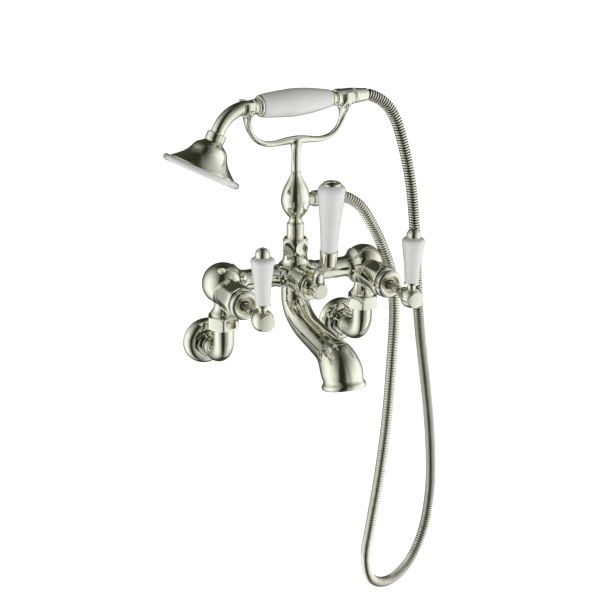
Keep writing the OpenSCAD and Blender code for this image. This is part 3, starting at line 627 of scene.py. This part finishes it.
def diverter_arm():
    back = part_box("diverter_shroud")[0][1] - 2 * MM
    hub = along((0, back, DIVERTER_Z), (0, -1, 0))
    boss = [(0, 0)] + curve([(7.8, 0), (8.6, 1.2), (9.2, 4), (9.3, 8)], 4) + [
        (9.3, 15.6), (8.9, 16.8), (8.4, 18), (0, 18)]
    path = [(0, -121, 91), (0, -121, 99), (0, -122.5, 107), (0, -127.5, 114), (0, -135, 119.5),
            (0, -143, 123.5), (0, -146.8, 125.6)]
    girth = [(7.2, 6.4), (6.9, 6.1), (6.3, 5.6), (6.0, 5.2), (6.0, 5.2), (6.3, 5.5), (6.6, 5.9)]
    foot = Matrix.Translation([c * MM for c in ARM_FOOT]) @ Matrix.Rotation(ARM_LEAN, 4, "X")
    solids = [add_turned(boss, hub),
              add_tube(np.array(path) * MM, millimetres(girth), (1, 0, 0)),
              add_turned([(0, -1.8), (6.4, -1.8), (8.0, -0.4), (8.0, 0), (0, 0)], foot)]
    above = [(0, 0.05), (18, 0.05), (18, 20), (0, 20)]
    return melted("curved_arm", solids, [add_turned(above, foot)], 0.4 * MM, 6)


show(diverter_arm(), "diverter_lever", "polished_nickel", "diverter_arm")


# ---- Floor and light ----
FLOOR_Z = cad_box[0][2] - 0.035
FLOOR_R = 6


def floor():
    bm = bmesh.new()
    bm.faces.new([bm.verts.new((FLOOR_R * math.cos(t), FLOOR_R * math.sin(t), FLOOR_Z))
                  for t in np.linspace(0, 2 * math.pi, 64, False)])
    ground = finish_mesh(bm, "floor", smooth=False)
    s = Shader("pale_floor", (0.93, 0.93, 0.92), roughness=0.6, emission_strength=0.9)
    s.surface.inputs["Emission Color"].default_value = (1, 1, 1, 1)
    tint = s.ramp(s.noise(3, 2), [(0.3, (0.92, 0.92, 0.91)), (0.7, (0.95, 0.95, 0.94))])
    ground.data.materials.append(s.finish(tint))
    # The polished metal mirrors the studio's walls down to the ground, so the floor hides from reflections
    ground.visible_glossy = False


# Brightness of the studio's walls: azimuth from the camera in degrees, then grey level
STUDIO = [(-180, 0.02), (-150, 0.05), (-136, 0.25), (-125, 0.5), (-112, 0.88), (-95, 1.15), (-78, 1.27),
          (-60, 1.05), (-42, 0.69), (-34, 0.49), (-26, 0.3), (-20, 0.06), (-15, 0.0), (5, 0.0), (12, 0.04),
          (20, 0.25), (28, 0.45), (38, 0.4), (46, 0.6), (54, 0.9), (64, 1.08), (84, 1.2), (112, 1.25),
          (130, 1.1), (139, 0.75), (147, 0.3), (156, 0.06), (180, 0.02)]
# Share of that brightness that is left at each sine of the elevation: the ceiling is dark
ELEVATIONS = [(-1, 0.15), (-0.966, 0.4), (-0.82, 0.85), (-0.64, 1.0), (0.17, 1.0), (0.4, 0.85), (0.6, 0.6),
              (0.79, 0.36), (0.91, 0.16), (1, 0.04)]
# What the dark parts of the room still give back
GLOOM = (0.022, 0.024, 0.012)


def studio():
    """Soft boxes left and right of the camera, a dark gap between them, and a dark back and ceiling."""
    world = bpy.data.worlds.new("studio")
    world.use_nodes = True
    tree = world.node_tree
    tree.nodes.clear()

    def add(kind, **settings):
        node = tree.nodes.new(kind)
        for key, value in settings.items():
            setattr(node, key, value)
        return node

    def put(value, socket):
        if hasattr(value, "links"):
            tree.links.new(value, socket)
        else:
            socket.default_value = value

    def math_node(operation, *values):
        node = add("ShaderNodeMath", operation=operation)
        for socket, value in zip(node.inputs, values):
            put(value, socket)
        return node.outputs[0]

    def ramp(share, stops):
        node = add("ShaderNodeValToRGB")
        elements = node.color_ramp.elements
        while len(elements) < len(stops):
            elements.new(0.5)
        for element, (position, color) in zip(elements, stops):
            element.position = position
            element.color = (*color, 1)
        tree.links.new(share, node.inputs["Fac"])
        return node.outputs["Color"]

    def mix(share, a, b, blend="MIX"):
        node = add("ShaderNodeMix", data_type="RGBA", blend_type=blend)
        for socket, value in zip((node.inputs[0], node.inputs[6], node.inputs[7]), (share, a, b)):
            put(value, socket)
        return node.outputs[2]

    turn = add("ShaderNodeVectorRotate", rotation_type="Z_AXIS")
    turn.inputs["Angle"].default_value = -CAMERA_AZIMUTH
    tree.links.new(add("ShaderNodeTexCoord").outputs["Generated"], turn.inputs["Vector"])
    split = add("ShaderNodeSeparateXYZ")
    tree.links.new(turn.outputs["Vector"], split.inputs[0])
    x, y, z = split.outputs
    azimuth = math_node("ARCTAN2", x, math_node("MULTIPLY", y, -1.0))
    brightest = max(level for _, level in STUDIO)
    walls = ramp(math_node("MULTIPLY_ADD", azimuth, 1 / (2 * math.pi), 0.5),
                 [(angle / 360 + 0.5, (level / brightest,) * 3) for angle, level in STUDIO])
    heights = ramp(math_node("MULTIPLY_ADD", z, 0.5, 0.5),
                   [(h / 2 + 0.5, (level,) * 3) for h, level in ELEVATIONS])
    lit = mix(1.0, mix(1.0, walls, heights, "MULTIPLY"), (*GLOOM, 1), "ADD")
    seen = mix(add("ShaderNodeLightPath").outputs["Is Camera Ray"], lit, (1, 1, 1, 1))
    light = add("ShaderNodeBackground")
    light.inputs["Strength"].default_value = brightest
    tree.links.new(seen, light.inputs["Color"])
    tree.links.new(light.outputs[0], add("ShaderNodeOutputWorld").inputs["Surface"])
    bpy.context.scene.world = world


def soft_light(name, azimuth, elevation, distance, size, power):
    """A square soft light aimed at the mixer; azimuth is measured from the camera, to the right."""
    a = CAMERA_AZIMUTH + math.radians(azimuth)
    e = math.radians(elevation)
    away = Vector((math.sin(a) * math.cos(e), -math.cos(a) * math.cos(e), math.sin(e)))
    data = bpy.data.lights.new(name, "AREA")
    data.size, data.energy = size, power
    lamp = bpy.data.objects.new(name, data)
    lamp.visible_glossy = False
    bpy.context.collection.objects.link(lamp)
    lamp.location = CAMERA_AIM + away * distance
    lamp.rotation_mode = "QUATERNION"
    lamp.rotation_quaternion = away.to_track_quat("Z", "Y")


floor()
studio()
soft_light("key", 40, 55, 2.2, 0.45, 5)
bpy.context.scene.view_settings.view_transform = "Standard"
